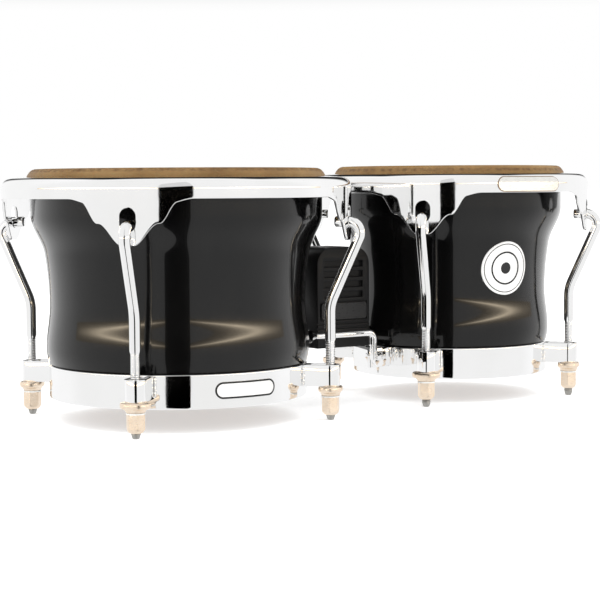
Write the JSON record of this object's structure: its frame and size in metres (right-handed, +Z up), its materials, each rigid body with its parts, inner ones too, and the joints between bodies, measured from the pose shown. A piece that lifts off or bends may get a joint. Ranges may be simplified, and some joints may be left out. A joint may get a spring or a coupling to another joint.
{
  "type": "bongo drums",
  "caption": "Pair of bongo drums with flared black shells, chromed hoops with slotted ears, hooked tension rods with tuning nuts, skin heads and a centre block.",
  "frame": {"origin": "middle of the bounding box at the plane of the eight tension rod tips, on which the pair stands", "axes": "+Z up; +X from the large drum (hembra) to the small drum (macho); -Y is the side with the round shell badge, which is the front"},
  "size_m": [0.5038, 0.2602, 0.188],
  "materials": {
    "black_lacquer": "high-gloss black lacquer on wood",
    "chrome": "polished",
    "steel": "plain steel ring",
    "skin": "natural buffalo skin, satin",
    "copper_plate": "pale copper plating, satin",
    "nylon": "smooth",
    "black_plastic": "satin moulded",
    "label": "white, blank",
    "badge": "satin, blank"
  },
  "bodies": {
    "drums": {"hembra_shell": "black_lacquer", "hembra_bottom_ring": "chrome", "hembra_lug_bracket_1": "chrome", "hembra_lug_bracket_2": "chrome", "hembra_lug_bracket_3": "chrome", "hembra_lug_bracket_4": "chrome", "hembra_block_bracket": "chrome", "hembra_head": "skin", "hembra_cup_washer_1": "copper_plate", "hembra_cup_washer_2": "copper_plate", "hembra_cup_washer_3": "copper_plate", "hembra_cup_washer_4": "copper_plate", "hembra_nylon_washers": "nylon", "hembra_support_rod": "chrome", "macho_shell": "black_lacquer", "macho_bottom_ring": "chrome", "macho_lug_bracket_1": "chrome", "macho_lug_bracket_2": "chrome", "macho_lug_bracket_3": "chrome", "macho_lug_bracket_4": "chrome", "macho_block_bracket": "chrome", "macho_head": "skin", "macho_cup_washer_1": "copper_plate", "macho_cup_washer_2": "copper_plate", "macho_cup_washer_3": "copper_plate", "macho_cup_washer_4": "copper_plate", "macho_nylon_washers": "nylon", "macho_support_rod": "chrome", "block_body": "black_plastic", "block_clamp": "black_plastic", "block_screws": "chrome", "block_plate": "black_plastic", "hembra_ring_label": "label", "macho_hoop_badge": "badge", "macho_shell_badge": "label"},
    "hembra_hoop_set": {"hembra_hoop": "chrome", "hembra_flesh_hoop": "steel", "hembra_tension_rod_1": "chrome", "hembra_tension_rod_2": "chrome", "hembra_tension_rod_3": "chrome", "hembra_tension_rod_4": "chrome"},
    "hembra_nut_1": {"hembra_tuning_nut_1": "copper_plate"},
    "hembra_nut_2": {"hembra_tuning_nut_2": "copper_plate"},
    "hembra_nut_3": {"hembra_tuning_nut_3": "copper_plate"},
    "hembra_nut_4": {"hembra_tuning_nut_4": "copper_plate"},
    "macho_hoop_set": {"macho_hoop": "chrome", "macho_flesh_hoop": "steel", "macho_tension_rod_1": "chrome", "macho_tension_rod_2": "chrome", "macho_tension_rod_3": "chrome", "macho_tension_rod_4": "chrome"},
    "macho_nut_1": {"macho_tuning_nut_1": "copper_plate"},
    "macho_nut_2": {"macho_tuning_nut_2": "copper_plate"},
    "macho_nut_3": {"macho_tuning_nut_3": "copper_plate"},
    "macho_nut_4": {"macho_tuning_nut_4": "copper_plate"}
  },
  "joints": [
    {"name": "hembra_hoop_slide", "type": "slide", "parent": "drums", "child": "hembra_hoop_set", "axis": [0, 0, 1], "range_m": [-0.003, 0]},
    {"name": "hembra_nut_1_turn", "type": "hinge", "parent": "drums", "child": "hembra_nut_1", "pos_m": [-0.04011, 0.08174, 0.0105], "axis": [0, 0, 1], "range_deg": [0, 870]},
    {"name": "hembra_nut_2_turn", "type": "hinge", "parent": "drums", "child": "hembra_nut_2", "pos_m": [-0.20359, 0.08174, 0.0105], "axis": [0, 0, 1], "range_deg": [0, 870]},
    {"name": "hembra_nut_3_turn", "type": "hinge", "parent": "drums", "child": "hembra_nut_3", "pos_m": [-0.20359, -0.08174, 0.0105], "axis": [0, 0, 1], "range_deg": [0, 870]},
    {"name": "hembra_nut_4_turn", "type": "hinge", "parent": "drums", "child": "hembra_nut_4", "pos_m": [-0.04011, -0.08174, 0.0105], "axis": [0, 0, 1], "range_deg": [0, 870]},
    {"name": "macho_hoop_slide", "type": "slide", "parent": "drums", "child": "macho_hoop_set", "axis": [0, 0, 1], "range_m": [-0.003, 0]},
    {"name": "macho_nut_1_turn", "type": "hinge", "parent": "drums", "child": "macho_nut_1", "pos_m": [0.21332, 0.06488, 0.0125], "axis": [0, 0, 1], "range_deg": [0, 870]},
    {"name": "macho_nut_2_turn", "type": "hinge", "parent": "drums", "child": "macho_nut_2", "pos_m": [0.07326, 0.07517, 0.0125], "axis": [0, 0, 1], "range_deg": [0, 870]},
    {"name": "macho_nut_3_turn", "type": "hinge", "parent": "drums", "child": "macho_nut_3", "pos_m": [0.06298, -0.06488, 0.0125], "axis": [0, 0, 1], "range_deg": [0, 870]},
    {"name": "macho_nut_4_turn", "type": "hinge", "parent": "drums", "child": "macho_nut_4", "pos_m": [0.20303, -0.07517, 0.0125], "axis": [0, 0, 1], "range_deg": [0, 870]}
  ],
  "couplings": [
    {"joint": "hembra_nut_1_turn", "follows": "hembra_hoop_slide", "rad_per_m": -5026.5},
    {"joint": "hembra_nut_2_turn", "follows": "hembra_hoop_slide", "rad_per_m": -5026.5},
    {"joint": "hembra_nut_3_turn", "follows": "hembra_hoop_slide", "rad_per_m": -5026.5},
    {"joint": "hembra_nut_4_turn", "follows": "hembra_hoop_slide", "rad_per_m": -5026.5},
    {"joint": "macho_nut_1_turn", "follows": "macho_hoop_slide", "rad_per_m": -5026.5},
    {"joint": "macho_nut_2_turn", "follows": "macho_hoop_slide", "rad_per_m": -5026.5},
    {"joint": "macho_nut_3_turn", "follows": "macho_hoop_slide", "rad_per_m": -5026.5},
    {"joint": "macho_nut_4_turn", "follows": "macho_hoop_slide", "rad_per_m": -5026.5}
  ]
}
